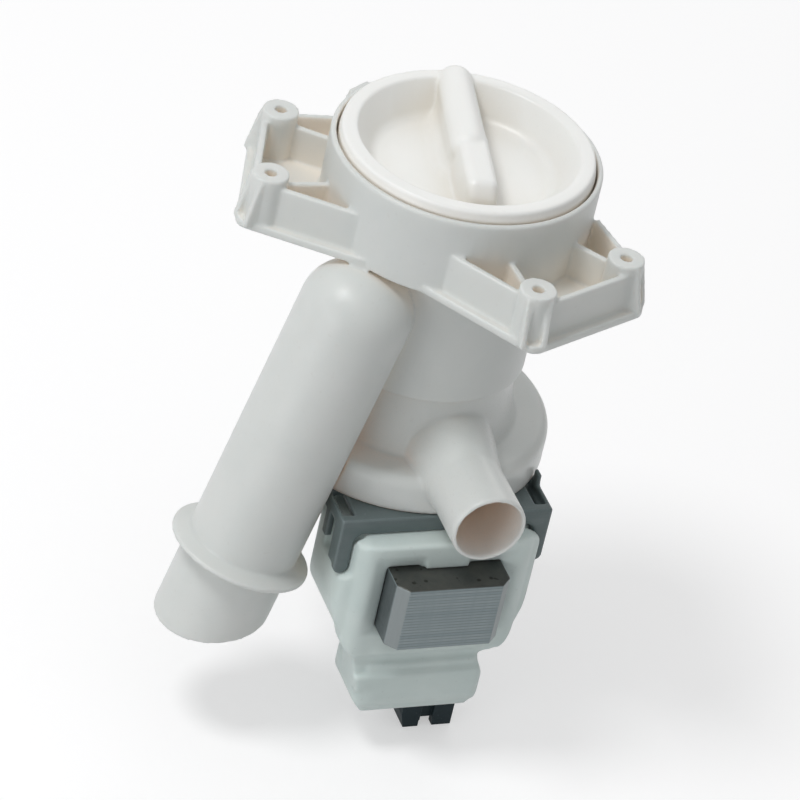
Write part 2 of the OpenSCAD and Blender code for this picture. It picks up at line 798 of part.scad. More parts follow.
module basket_spoke(turn, z) {
    rotate([0, 0, turn])
        block([stem_r - 1, -1, z + 0.2], [basket_r - 1.5, 1, z + basket_plate_t - 0.2]);
}

// Impeller: hub with straight vanes, hollow underneath for the driving dog
module impeller() {
    color([0.30, 0.34, 0.38])
        difference() {
            union() {
                disc(hub_r, impeller_bottom_z, impeller_top_z - 1);
                disc(hub_r - 1, impeller_top_z - 1 - eps, impeller_top_z);
                for (i = [0:vane_n - 1]) rotate([0, 0, i * 360 / vane_n]) vane();
            }
            difference() {
                disc(hub_cavity_r, impeller_bottom_z - 1, impeller_bottom_z + hub_cavity_h);
                rotate([0, 0, 180])
                    sector(dog_hub_r + 0.4, hub_cavity_r + 1, stop_half,
                           impeller_bottom_z, impeller_bottom_z + hub_cavity_h + 1);
            }
            disc(shaft_r + running_gap, impeller_bottom_z, shaft_top_z + 0.2);
        }
}

module vane() {
    translate([0, vane_t / 2, 0])
        rotate([90, 0, 0])
            linear_extrude(vane_t)
                polygon([[hub_cavity_r + 0.5, impeller_bottom_z + 1], [impeller_r - 1, impeller_bottom_z + 1],
                         [impeller_r, impeller_bottom_z + 2.5], [impeller_r, impeller_top_z - 4],
                         [impeller_r - 4, impeller_top_z - 1], [hub_cavity_r + 0.5, impeller_top_z - 1]]);
}

// Driving dog pressed on the shaft; it swings round inside the hub before it drives
module drive_dog() {
    z0 = impeller_bottom_z + 0.5;
    color([0.85, 0.84, 0.80])
        difference() {
            union() {
                disc(dog_hub_r, z0, z0 + dog_h);
                sector(shaft_r + 0.5, hub_cavity_r - 0.3, dog_half, z0, z0 + dog_h);
            }
            disc(shaft_r + seat_gap, z0 - 1, z0 + dog_h + 1);
        }
}

module rotor_shaft() {
    color([0.75, 0.76, 0.78]) disc(shaft_r, shaft_bottom_z, shaft_top_z);
}

module rotor_magnet() {
    color([0.18, 0.18, 0.19])
        difference() {
            disc(magnet_r, magnet_bottom_z, magnet_top_z);
            disc(shaft_r + seat_gap, magnet_bottom_z - 1, magnet_top_z + 1);
        }
}

module thrust_washer() {
    color([0.90, 0.88, 0.80])
        tube(shaft_r + 2.2, shaft_r + seat_gap, magnet_top_z + 0.02, magnet_top_z + 0.02 + washer_t);
}

module chamber_gasket() {
    color([0.15, 0.15, 0.16])
        tube(gasket_groove_r + gasket_groove_w - gasket_gap, gasket_groove_r + gasket_gap,
             chamber_end_z, chamber_end_z + gasket_groove_h - gasket_gap);
}

// Thin-walled can that keeps the rotor's water away from the stator
module rotor_can() {
    color([0.33, 0.37, 0.39])
        rotate_extrude()
            polygon([[can_bore_r, chamber_end_z], [can_flange_r, chamber_end_z], [can_flange_r, drum_bottom_z],
                     [can_r, drum_bottom_z], [can_r, rear_bush_top_z - 1],
                     [seat_r + seat_gap + can_wall, rear_bush_top_z - 2.5],
                     [seat_r + seat_gap + can_wall, can_floor_z - can_wall],
                     [0, can_floor_z - can_wall], [0, can_floor_z], [seat_r + seat_gap, can_floor_z],
                     [seat_r + seat_gap, rear_bush_top_z - 0.6], [can_bore_r, rear_bush_top_z - 0.6]]);
}

// Disc that closes the can's mouth and holds the front bearing
module bearing_plug() {
    color([0.86, 0.85, 0.82])
        difference() {
            union() {
                disc(can_bore_r - 0.02, chamber_end_z - 2, chamber_end_z);
                disc(seat_r + 1.6, front_bush_bottom_z - 0.1, chamber_end_z);
                tube(can_bore_r - 0.02, can_bore_r - 1.6, front_bush_bottom_z, chamber_end_z);
            }
            disc(seat_r + seat_gap, front_bush_bottom_z - 1, front_bush_top_z + 0.3);
            disc(shaft_r + 0.5, front_bush_bottom_z, chamber_end_z + 1);
        }
}

module bush(z0) {
    color([0.55, 0.50, 0.42]) tube(bush_r, shaft_r + running_gap, z0, z0 + bush_h);
}

module bush_seat(z0) {
    color([0.16, 0.16, 0.17]) tube(seat_r, bush_r + seat_gap, z0, z0 + bush_h);
}

module front_bearing() {
    bush(front_bush_bottom_z);
}

module front_bearing_seat() {
    bush_seat(front_bush_bottom_z);
}

module rear_bearing() {
    bush(rear_bush_bottom_z);
}

module rear_bearing_seat() {
    bush_seat(rear_bush_bottom_z);
}

// Motor bracket: plate with a skirt, slots, corner legs and two hooks behind the poles
module motor_bracket() {
    slot_w = 3.5;
    slot_l = 11.2;
    slot_inset = 8.5;
    skirt_z = drum_bottom_z - bracket_skirt;
    color([0.31, 0.35, 0.365])
        difference() {
            union() {
                block([-bracket_w, -bracket_front, bracket_bottom_z], [bracket_w, bracket_back, drum_bottom_z]);
                for (side = [0, 1])
                    mirror([side, 0, 0]) {
                        bracket_leg(skirt_z);
                        bracket_hook();
                        block([bracket_w - skirt_t, -bracket_front, skirt_z],
                              [bracket_w, bracket_back, bracket_bottom_z + 1]);
                        block([-eps, bracket_back - skirt_t, skirt_z],
                              [bracket_w, bracket_back, bracket_bottom_z + 1]);
                        block([-eps, -bracket_front, skirt_z],
                              [bracket_w, skirt_t - bracket_front, bracket_bottom_z + 1]);
                    }
            }
            disc(can_r + 0.1, bracket_bottom_z - 1, drum_bottom_z + 1);
            pipe_room(0);
            for (side = [-1, 1], y = [-bracket_front + slot_inset, bracket_back - slot_inset])
                block([side * (bracket_w - 2.8) - slot_w / 2, y - slot_l / 2, bracket_bottom_z - 1],
                      [side * (bracket_w - 2.8) + slot_w / 2, y + slot_l / 2, drum_bottom_z + 1]);
            for (side = [-1, 1])
                block([side * bracket_w - 3, -bracket_front + leg_w + 1, drum_bottom_z - leg_h],
                      [side * bracket_w + 3, -bracket_front + leg_w + 5.5, drum_bottom_z - 4]);
        }
}

// Corner leg: a post with a rounded foot, a fillet to the skirt and a short second prong
module bracket_leg(skirt_z) {
    foot_z = drum_bottom_z - leg_h + leg_w / 2;
    fillet = leg_fillet;
    translate([bracket_w - leg_w, -bracket_front, 0]) {
        block([0, 0, foot_z], [leg_w, skirt_t, skirt_z + 1]);
        block([leg_w - skirt_t, 0, foot_z], [leg_w, leg_w + 1, skirt_z + 1]);
        translate([leg_w / 2, skirt_t, foot_z]) rotate([90, 0, 0]) cylinder(r = leg_w / 2, h = skirt_t);
        difference() {
            block([-fillet, 0, skirt_z - fillet], [0.5, skirt_t, skirt_z + 1]);
            translate([-fillet, skirt_t + 1, skirt_z - fillet])
                rotate([90, 0, 0]) cylinder(r = fillet, h = skirt_t + 2);
        }
    }
    block([bracket_w - skirt_t, -bracket_front + leg_w + 5.5, drum_bottom_z - leg_h * 0.7],
          [bracket_w, -bracket_front + leg_w + 8.5, skirt_z + 1]);
}

// Finger behind a pole, with a nose under the lamination stack
module bracket_hook() {
    y0 = core_back + 0.2;
    block([leg_in + 1, y0, core_bottom_z - 3], [leg_out - 1, y0 + 2.5, bracket_bottom_z + 1]);
    block([leg_in + 1, y0 - 2.5, core_bottom_z - 3], [leg_out - 1, y0 + 2.5, core_bottom_z - 0.2]);
}

// Laminated core: a U whose poles wrap round the rotor can
module core_outline(inset) {
    out = core_w - inset;
    front = -core_front + inset;
    cham = core_chamfer;
    difference() {
        polygon([[-out, core_back], [-out, front + cham], [-out + cham, front],
                 [out - cham, front], [out, front + cham], [out, core_back]]);
        translate([-core_slot, -recess_y]) square([2 * core_slot, recess_y + core_back + 1]);
        circle(r = pole_bore_r);
    }
}

module stator_core() {
    pitch = stack_h / (lamination_lines + 1);
    groove = 0.16;
    color([0.50, 0.53, 0.55])
        difference() {
            translate([0, 0, core_bottom_z]) linear_extrude(stack_h) core_outline(0);
            for (i = [1:lamination_lines])
                translate([0, 0, core_bottom_z + i * pitch - groove / 2])
                    linear_extrude(groove)
                        difference() {
                            translate([-core_w - 1, -core_front - 1]) square([2 * core_w + 2, yoke_t]);
                            core_outline(groove);
                        }
        }
}

// Box-shaped sleeve round one core leg, cut from a larger box
module leg_box(grow, y0, y1, grow_z) {
    block([leg_in - grow, -y1, core_mid_z - stack_h / 2 - grow_z],
          [leg_out + grow, -y0, core_mid_z + stack_h / 2 + grow_z]);
}

module coil_bobbin() {
    tube_grow = bobbin_gap + bobbin_wall;
    flange_grow = tube_grow + coil_t;
    color([0.88, 0.87, 0.82])
        difference() {
            union() {
                for (side = [0, 1])
                    mirror([side, 0, 0]) {
                        leg_box(tube_grow, coil_back_y, coil_front_y, tube_grow);
                        leg_box(flange_grow, coil_front_y - bobbin_flange_t, coil_front_y, flange_grow);
                        leg_box(flange_grow, coil_back_y, coil_back_y + bobbin_flange_t, flange_grow);
                    }
                block([-2, -coil_front_y, core_mid_z - 6],
                      [2, -coil_front_y + bobbin_flange_t, core_mid_z + 6]);
            }
            for (side = [0, 1])
                mirror([side, 0, 0]) leg_box(bobbin_gap, coil_back_y - 1, coil_front_y + 1, bobbin_gap);
        }
}

module coil() {
    tube_grow = bobbin_gap + bobbin_wall;
    color([0.70, 0.40, 0.20])
        difference() {
            leg_box(tube_grow + coil_t, coil_back_y + bobbin_flange_t + 0.03,
                    coil_front_y - bobbin_flange_t - 0.03, tube_grow + coil_t);
            leg_box(tube_grow + 0.03, coil_back_y, coil_front_y, tube_grow + 0.03);
        }
}

module coil_left() {
    mirror([1, 0, 0]) coil();
}

module coil_right() {
    coil();
}

function fuse_z() = core_mid_z - tube_half_h - coil_t - fuse_r - 0.1;

module thermal_fuse() {
    color([0.80, 0.78, 0.70])
        translate([-leg_mid_x - fuse_h / 2, -(coil_front_y + coil_back_y) / 2, fuse_z()])
            rotate([0, 90, 0]) cylinder(r = fuse_r, h = fuse_h);
}

// Rounded rectangle in the XZ plane, run along Y
module rounded_bar(half_w, z0, z1, r_top, r_low, y0, y1) {
    translate([0, -y0, 0])
        rotate([90, 0, 0])
            linear_extrude(y1 - y0) {
                for (side = [-1, 1]) {
                    translate([side * (half_w - r_top), z1 - r_top]) circle(r = r_top);
                    translate([side * (half_w - r_low), z0 + r_low]) circle(r = r_low);
                }
                polygon([[-half_w + r_low, z0], [half_w - r_low, z0], [half_w, z0 + r_low],
                         [half_w, z1 - r_top], [half_w - r_top, z1], [-half_w + r_top, z1],
                         [-half_w, z1 - r_top], [-half_w, z0 + r_low]]);
            }
}

// Stator housing: moulding round the coils, with the recess for the yoke and the terminal box
module stator_housing() {
    tube_grow = bobbin_gap + bobbin_wall;
    pocket = tube_grow + coil_t + coil_gap;
    body_front = housing_front - frame_t + 5;
    mould_mark_y = housing_back + 18;
    mould_mark_z = core_mid_z - 3.5;
    color([0.71, 0.75, 0.74])
        difference() {
            union() {
                difference() {
                    rounded_bar(housing_w, housing_bottom_z, housing_top_z, housing_top_round, housing_round,
                                housing_back, body_front);
                    upright_waste(housing_w, -body_front, -1, 5, housing_bottom_z - 1, housing_top_z + 1);
                    upright_waste(housing_w, -housing_back, 1, 6, housing_bottom_z - 1, housing_top_z + 1);
                }
                difference() {
                    rounded_bar(frame_w, housing_bottom_z, housing_top_z, 4, 10, housing_front - frame_t, housing_front);
                    upright_waste(frame_w, -housing_front, -1, 6, housing_bottom_z - 1, housing_top_z + 1);
                }
                terminal_box();
            }
            yoke_recess();
            for (side = [0, 1])
                mirror([side, 0, 0]) leg_notch();
            translate([-housing_w - 1, -mould_mark_y, mould_mark_z]) rotate([0, 90, 0]) cylinder(r = 3, h = 1.4);
            for (side = [0, 1])
                mirror([side, 0, 0]) {
                    leg_box(0.1, housing_back - 1, housing_front + 1, 0.1);
                    block([-eps, -coil_front_y - 0.05, core_mid_z - stack_h / 2 - pocket],
                          [leg_out + pocket, -coil_back_y + 0.05, core_mid_z + stack_h / 2 + pocket]);
                }
            translate([-leg_mid_x - fuse_h / 2 - 0.5, -(coil_front_y + coil_back_y) / 2 - fuse_r - 0.3,
                       fuse_z() - fuse_r - 0.1])
                cube([fuse_h + 1, 2 * fuse_r + 0.6, 3 * fuse_r]);
            terminal_slots();
        }
}

// Waste that leaves a left and a right upright edge rounded; way is -1 for front edges, 1 for back ones
module upright_waste(half_w, y, way, round_r, low_z, high_z) {
    for (side = [0, 1])
        mirror([side, 0, 0])
            translate([half_w - round_r, y - way * round_r, low_z])
                difference() {
                    translate([0, way > 0 ? 0 : -round_r - 1, 0])
                        cube([round_r + 1, round_r + 1, high_z - low_z]);
                    translate([0, 0, -1]) cylinder(r = round_r, h = high_z - low_z + 2);
                }
}

// Room in a front corner of the housing for a leg of the bracket
module leg_notch() {
    inner_x = bracket_w - leg_w - leg_gap;
    block([inner_x, -bracket_front - leg_gap, drum_bottom_z - leg_h - leg_gap],
          [bracket_w + 1, -bracket_front + leg_w + 9, housing_top_z + 1]);
    block([inner_x - leg_fillet, -bracket_front - leg_gap, drum_bottom_z - bracket_skirt - leg_fillet - leg_gap],
          [bracket_w, -bracket_front + skirt_t + leg_gap, housing_top_z + 1]);
}

// Bevelled recess in the front frame, with the tab that holds the core down left standing
module yoke_recess() {
    wide = core_w + 5;
    high = stack_h / 2 + 5;
    depth = housing_front - recess_y;
    translate([0, -recess_y, core_mid_z])
        rotate([90, 0, 0])
            difference() {
                hull() {
                    translate([-core_w - 0.1, -stack_h / 2 - 0.1, 0]) cube([2 * core_w + 0.2, stack_h + 0.2, eps]);
                    translate([-wide, -high + 3, depth]) cube([2 * wide, 2 * high - 3, 1]);
                }
                translate([-6.5, stack_h / 2 + 0.1, -1]) cube([13, 10, depth + 3]);
            }
}

// Terminal box: waisted under the frame, full and rounded lower down
module terminal_box() {
    edge_r = 5.5;
    back = box_depth - box_front;
    low_z = box_bottom_z - 1;
    high_z = housing_bottom_z - 2;
    difference() {
        intersection() {
            translate([-box_w - 1, 0, 0])
                rotate([90, 0, 90])
                    linear_extrude(2 * box_w + 2) box_outline(-box_front, back, box_waist / 2, edge_r, eps);
            translate([0, back + 1, 0])
                rotate([90, 0, 0])
                    linear_extrude(box_depth + 2) box_outline(-box_w, box_w, box_waist, edge_r, 0);
        }
        upright_waste(box_w, -box_front, -1, edge_r, low_z, high_z);
        upright_waste(box_w, back, 1, edge_r, low_z, high_z);
    }
}

// Outline of the terminal box seen from one side, from edge a to edge b
module box_outline(a, b, waist, round_r, low) {
    low_z = box_bottom_z - low;
    bulge_z = box_bottom_z + box_h * 0.5;
    waist_z = housing_bottom_z - 2.5;
    top_z = housing_bottom_z + 5;
    polygon([[a + waist, top_z], [a + waist, waist_z], [a, bulge_z], [a, low_z + round_r], [a + round_r, low_z],
             [b - round_r, low_z], [b, low_z + round_r], [b, bulge_z], [b - waist, waist_z], [b - waist, top_z]]);
    translate([a + round_r, low_z + round_r]) circle(r = round_r);
    translate([b - round_r, low_z + round_r]) circle(r = round_r);
}

// Passages for the terminal blades, from the coil space down to the connector
module terminal_slots() {
    for (side = [-1, 1])
        translate([plug_x + side * blade_pitch / 2 - blade_t / 2 - 0.05, -blade_front_y - 0.05, box_bottom_z - 1])
            cube([blade_t + 0.1, blade_w + 0.1, box_h + 4]);
}

// Connector: block with two front pads, a recess between them and a socket underneath
module terminal_connector() {
    half = plug_w / 2;
    slant = 1.2;
    mid = plug_depth / 2;
    color([0.19, 0.24, 0.28])
        translate([plug_x, -plug_front + mid, 0])
            difference() {
                translate([0, mid, 0])
                    rotate([90, 0, 0])
                        linear_extrude(plug_depth)
                            polygon([[-half, box_bottom_z], [half, box_bottom_z], [half, plug_bottom_z],
                                     [-half + slant, plug_bottom_z], [-half, plug_bottom_z + 4 * slant]]);
                block([-2, -mid - 1, plug_bottom_z - 1], [2, -mid + 1.6, box_bottom_z + 1]);
                block([-2.2, -mid - 1, plug_bottom_z - 1], [2.2, mid + 1, plug_bottom_z + 2.2]);
                block([-half + 2.6, -mid + 2.6, plug_bottom_z - 1], [half - 2.6, mid - 1.4, box_bottom_z - 3]);
                for (side = [-1, 1])
                    block([side * blade_pitch / 2 - blade_t / 2 - 0.05, mid - blade_w - 2.85, box_bottom_z - 4],
                          [side * blade_pitch / 2 + blade_t / 2 + 0.05, mid - 2.8, box_bottom_z + 1]);
            }
}

module terminal_blades() {
    color([0.78, 0.78, 0.76])
        for (side = [-1, 1])
            translate([plug_x + side * blade_pitch / 2 - blade_t / 2, -blade_front_y, plug_bottom_z + 4])
                cube([blade_t, blade_w, housing_bottom_z + 2 - plug_bottom_z - 4]);
}

filter_housing();
flange_right();
flange_left();
inlet_pipe();
pump_chamber();
filter_cap();
cap_gasket();
lint_filter();
impeller();
drive_dog();
rotor_shaft();
rotor_magnet();
thrust_washer();
chamber_gasket();
rotor_can();
bearing_plug();
front_bearing();
front_bearing_seat();
rear_bearing();
rear_bearing_seat();
motor_bracket();
stator_core();
coil_bobbin();
coil_left();
coil_right();
thermal_fuse();
stator_housing();
terminal_connector();
terminal_blades();
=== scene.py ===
import bmesh
import bpy
from mathutils import Matrix, Vector


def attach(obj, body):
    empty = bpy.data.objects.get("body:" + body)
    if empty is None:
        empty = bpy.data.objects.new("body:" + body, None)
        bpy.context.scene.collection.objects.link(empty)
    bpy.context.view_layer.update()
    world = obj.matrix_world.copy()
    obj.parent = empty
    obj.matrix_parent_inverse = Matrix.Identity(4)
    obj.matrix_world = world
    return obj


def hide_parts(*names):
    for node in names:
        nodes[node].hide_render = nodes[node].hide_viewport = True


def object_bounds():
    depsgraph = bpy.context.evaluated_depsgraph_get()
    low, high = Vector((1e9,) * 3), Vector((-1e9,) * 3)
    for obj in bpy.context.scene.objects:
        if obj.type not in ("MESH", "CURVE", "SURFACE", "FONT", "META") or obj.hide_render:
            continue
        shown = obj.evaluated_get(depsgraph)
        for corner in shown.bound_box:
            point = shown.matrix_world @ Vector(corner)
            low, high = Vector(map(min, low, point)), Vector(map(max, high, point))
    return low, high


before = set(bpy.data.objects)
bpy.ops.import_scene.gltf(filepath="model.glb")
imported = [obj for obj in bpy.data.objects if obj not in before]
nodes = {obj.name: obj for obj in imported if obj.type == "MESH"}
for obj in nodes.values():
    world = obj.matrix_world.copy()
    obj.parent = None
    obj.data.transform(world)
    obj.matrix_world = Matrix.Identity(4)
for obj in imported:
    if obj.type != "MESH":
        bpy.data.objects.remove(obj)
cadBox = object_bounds()
print("frame loaded:", len(nodes), "nodes")

mm = 0.001
white = (1.0, 1.0, 1.0, 1.0)
floatSocket, vectorSocket = "NodeSocketFloat", "NodeSocketVector"


def newNode(tree, kind, **values):
    node = tree.nodes.new(kind)
    for key, value in values.items():
        setattr(node, key, value)
    return node


def setInputs(node, **values):
    for key, value in values.items():
        node.inputs[key.replace("_", " ")].default_value = value


def joinNodes(tree, source, target):
    tree.links.new(source, target)


def newGroup(name, inputs, outputs):
    group = bpy.data.node_groups.new(name, "ShaderNodeTree")
    for label, kind, value in inputs:
        socket = group.interface.new_socket(name=label, in_out="INPUT", socket_type=kind)
        socket.default_value = value
    for label, kind in outputs:
        group.interface.new_socket(name=label, in_out="OUTPUT", socket_type=kind)
    return group, newNode(group, "NodeGroupInput"), newNode(group, "NodeGroupOutput")


# Each of the two values is a plain number or another node's output
def mathNode(tree, operation, first, second=None, clamp=False):
    node = newNode(tree, "ShaderNodeMath", operation=operation, use_clamp=clamp)
    for index, value in enumerate((first, second)):
        if isinstance(value, (int, float)):
            node.inputs[index].default_value = value
        elif value is not None:
            joinNodes(tree, value, node.inputs[index])
    return node.outputs[0]


def rangeNode(tree, value, low, high, toLow=0.0, toHigh=1.0):
    node = newNode(tree, "ShaderNodeMapRange")
    joinNodes(tree, value, node.inputs["Value"])
    for label, number in (("From Min", low), ("From Max", high), ("To Min", toLow), ("To Max", toHigh)):
        node.inputs[label].default_value = number
    return node.outputs["Result"]


def splitAxes(tree, source):
    parts = newNode(tree, "ShaderNodeSeparateXYZ")
    joinNodes(tree, source, parts.inputs[0])
    return parts.outputs


def objectPlace(tree):
    return newNode(tree, "ShaderNodeTexCoord").outputs["Object"]


grainShape = dict(noises={"Fine Scale": dict(Detail=3.0, Roughness=0.6),
                          "Broad Scale": dict(Detail=4.0, Roughness=0.55, Distortion=0.4),
                          "Speck Scale": dict(Detail=1.0, Roughness=0.5)},
                  toneSpan=(0.35, 0.65), speckSpan=(0.70, 0.76))


# Grain of a moulded or worked surface: fine height, broad tone and sparse specks
def buildSurfaceGrain(shape):
    group, start, end = newGroup(
        "surfaceGrain",
        [("Fine Scale", floatSocket, 2500.0), ("Broad Scale", floatSocket, 45.0),
         ("Speck Scale", floatSocket, 700.0), ("Stretch", vectorSocket, (1, 1, 1))],
        [("Grain", floatSocket), ("Tone", floatSocket), ("Specks", floatSocket)])
    stretch = newNode(group, "ShaderNodeVectorMath", operation="MULTIPLY")
    joinNodes(group, objectPlace(group), stretch.inputs[0])
    joinNodes(group, start.outputs["Stretch"], stretch.inputs[1])
    noises = {}
    for label, values in shape["noises"].items():
        noise = newNode(group, "ShaderNodeTexNoise")
        setInputs(noise, **values)
        joinNodes(group, stretch.outputs[0], noise.inputs["Vector"])
        joinNodes(group, start.outputs[label], noise.inputs["Scale"])
        noises[label] = noise.outputs["Fac"]
    joinNodes(group, noises["Fine Scale"], end.inputs["Grain"])
    joinNodes(group, rangeNode(group, noises["Broad Scale"], *shape["toneSpan"]), end.inputs["Tone"])
    joinNodes(group, rangeNode(group, noises["Speck Scale"], *shape["speckSpan"]), end.inputs["Specks"])
    return group


edgeShape = dict(samples=4, agreeSpan=(0.995, 0.85))  # how far the rounded normal leans from the flat one


# Edges rounded in the shading, with a mask that is 1 on the rounded edge
def buildSoftEdge(shape):
    group, start, end = newGroup(
        "softEdge",
        [("Radius", floatSocket, 0.4 * mm), ("Height", floatSocket, 0.0), ("Depth", floatSocket, 0.02 * mm)],
        [("Normal", vectorSocket), ("Edge", floatSocket)])
    bevel = newNode(group, "ShaderNodeBevel", samples=shape["samples"])
    joinNodes(group, start.outputs["Radius"], bevel.inputs["Radius"])
    bump = newNode(group, "ShaderNodeBump")
    setInputs(bump, Strength=1.0)
    joinNodes(group, start.outputs["Depth"], bump.inputs["Distance"])
    joinNodes(group, start.outputs["Height"], bump.inputs["Height"])
    joinNodes(group, bevel.outputs["Normal"], bump.inputs["Normal"])
    joinNodes(group, bump.outputs["Normal"], end.inputs["Normal"])
    flat = newNode(group, "ShaderNodeNewGeometry")
    agree = newNode(group, "ShaderNodeVectorMath", operation="DOT_PRODUCT")
    joinNodes(group, bevel.outputs["Normal"], agree.inputs[0])
    joinNodes(group, flat.outputs["Normal"], agree.inputs[1])
    joinNodes(group, rangeNode(group, agree.outputs["Value"], *shape["agreeSpan"]), end.inputs["Edge"])
    return group


jointContrast = 8.0


# Dark joints between sheets stacked along Z, and a tone picked for each sheet
def buildSheetLines(contrast):
    group, start, end = newGroup(
        "sheetLines",
        [("Pitch", floatSocket, 1.03 * mm), ("Start", floatSocket, 0.0), ("Width", floatSocket, 0.2)],
        [("Joint", floatSocket), ("Sheet", floatSocket)])
    height = splitAxes(group, objectPlace(group))["Z"]
    count = mathNode(group, "DIVIDE", mathNode(group, "SUBTRACT", height, start.outputs["Start"]),
                     start.outputs["Pitch"])
    fromMiddle = mathNode(group, "ABSOLUTE", mathNode(group, "SUBTRACT", mathNode(group, "FRACT", count), 0.5))
    edge = mathNode(group, "SUBTRACT", 0.5, start.outputs["Width"])
    joint = mathNode(group, "SUBTRACT", fromMiddle, edge, clamp=True)
    joinNodes(group, mathNode(group, "MULTIPLY", joint, contrast, clamp=True), end.inputs["Joint"])
    pick = newNode(group, "ShaderNodeTexWhiteNoise", noise_dimensions="1D")
    joinNodes(group, mathNode(group, "FLOOR", count), pick.inputs["W"])
    joinNodes(group, pick.outputs["Value"], end.inputs["Sheet"])
    return group


creaseSamples = 6


# Mask from ambient occlusion that is 1 in creases and hollows and 0 on open faces; the moulded materials paint shade
# and glow through it
def buildCreaseOcclusion(samples):
    group, start, end = newGroup(
        "creaseOcclusion",
        [("Reach", floatSocket, 8.0 * mm), ("Open", floatSocket, 0.75), ("Deep", floatSocket, 0.15)],
        [("Crease", floatSocket)])
    shade = newNode(group, "ShaderNodeAmbientOcclusion", samples=samples)
    joinNodes(group, start.outputs["Reach"], shade.inputs["Distance"])
    depth = newNode(group, "ShaderNodeMapRange")
    joinNodes(group, shade.outputs["AO"], depth.inputs["Value"])
    joinNodes(group, start.outputs["Open"], depth.inputs["From Min"])
    joinNodes(group, start.outputs["Deep"], depth.inputs["From Max"])
    joinNodes(group, depth.outputs["Result"], end.inputs["Crease"])
    return group


surfaceGrain = buildSurfaceGrain(grainShape)
softEdge = buildSoftEdge(edgeShape)
creaseOcclusion = buildCreaseOcclusion(creaseSamples)
sheetLines = buildSheetLines(jointContrast)
print("node groups built")


def placeGroup(tree, group, **values):
    node = newNode(tree, "ShaderNodeGroup", node_tree=group)
    setInputs(node, **values)
    return node


# Each colour is a plain one or another node's output; sockets 6 and 7 take them in and socket 2 gives the mix
def mixColour(tree, factor, first, second, blend="MIX"):
    node = newNode(tree, "ShaderNodeMix", data_type="RGBA", blend_type=blend)
    joinNodes(tree, factor, node.inputs[0])
    for index, value in ((6, first), (7, second)):
        if isinstance(value, tuple):
            node.inputs[index].default_value = (*value, 1.0)
        else:
            joinNodes(tree, value, node.inputs[index])
    return node.outputs[2]


def startMaterial(name):
    material = bpy.data.materials.new(name)
    material.use_nodes = True
    tree = material.node_tree
    return material, tree, tree.nodes["Principled BSDF"]


grainMiddle = (0.3, 0.7)  # the part of the grain's range that changes the roughness


# Two close tones under a fine grain, and a painted highlight on the rounded edges
def grainedColour(tree, look):
    grain = placeGroup(tree, surfaceGrain, Fine_Scale=look["fine"], Broad_Scale=look["broad"],
                       Stretch=look.get("stretch", (1, 1, 1)))
    edge = placeGroup(tree, softEdge, Radius=look["edge"] * mm, Depth=look["depth"] * mm)
    joinNodes(tree, grain.outputs["Grain"], edge.inputs["Height"])
    body = mixColour(tree, grain.outputs["Tone"], look["colour"], look["second"])
    # Rounded edges lightened through the edge mask: a painted highlight
    highlightShare = mathNode(tree, "MULTIPLY", edge.outputs["Edge"], look["edgeHighlightShare"])
    return grain, edge, mixColour(tree, highlightShare, body, look["edgeHighlight"])


def finishSurface(tree, shader, colour, grain, edge, smoothest, roughest):
    joinNodes(tree, colour, shader.inputs["Base Color"])
    rough = rangeNode(tree, grain.outputs["Grain"], *grainMiddle, smoothest, roughest)
    joinNodes(tree, rough, shader.inputs["Roughness"])
    joinNodes(tree, edge.outputs["Normal"], shader.inputs["Normal"])


plasticBase = dict(ior=1.49, smoother=0.04, rougher=0.06, scatterReach=1.6, scatterTint=(1.0, 0.9, 0.85))


# Moulded plastic: a painted highlight on the soft edges, rare specks, and painted shade and glow in the creases
def makeMoulded(name, ownLook):
    look = dict(plasticBase, **ownLook)
    material, tree, shader = startMaterial(name)
    grain, edge, colour = grainedColour(tree, look)
    speckShare = mathNode(tree, "MULTIPLY", grain.outputs["Specks"], look["specks"])
    colour = mixColour(tree, speckShare, colour, look["speckColour"])
    # The crease tint multiplies the colour in creases: below 1 it is painted shade, above 1 a painted glow standing in
    # for light through the wall
    if "creaseShadeAndGlow" in look:
        crease = placeGroup(tree, creaseOcclusion, Reach=look["creaseReach"] * mm, Open=look["creaseOpen"],
                            Deep=look["creaseDeep"])
        depth = mathNode(tree, "MULTIPLY", crease.outputs["Crease"], look["creaseShare"])
        colour = mixColour(tree, depth, colour, look["creaseShadeAndGlow"], "MULTIPLY")
    finishSurface(tree, shader, colour, grain, edge, look["rough"] - look["smoother"], look["rough"] + look["rougher"])
    setInputs(shader, IOR=look["ior"])
    if "scatter" in look:
        setInputs(shader, Subsurface_Weight=look["scatter"], Subsurface_Radius=look["scatterTint"],
                  Subsurface_Scale=look["scatterReach"] * mm)
    return material


metalBase = dict(edgeHighlightShare=0.5, smoother=0.06, rougher=0.08)


# Worked metal: brushed or ground, with a painted highlight on the rounded edges
def makeMetal(name, ownLook):
    look = dict(metalBase, **ownLook)
    material, tree, shader = startMaterial(name)
    grain, edge, colour = grainedColour(tree, look)
    finishSurface(tree, shader, colour, grain, edge, look["rough"] - look["smoother"], look["rough"] + look["rougher"])
    setInputs(shader, Metallic=look["metallic"])
    return material


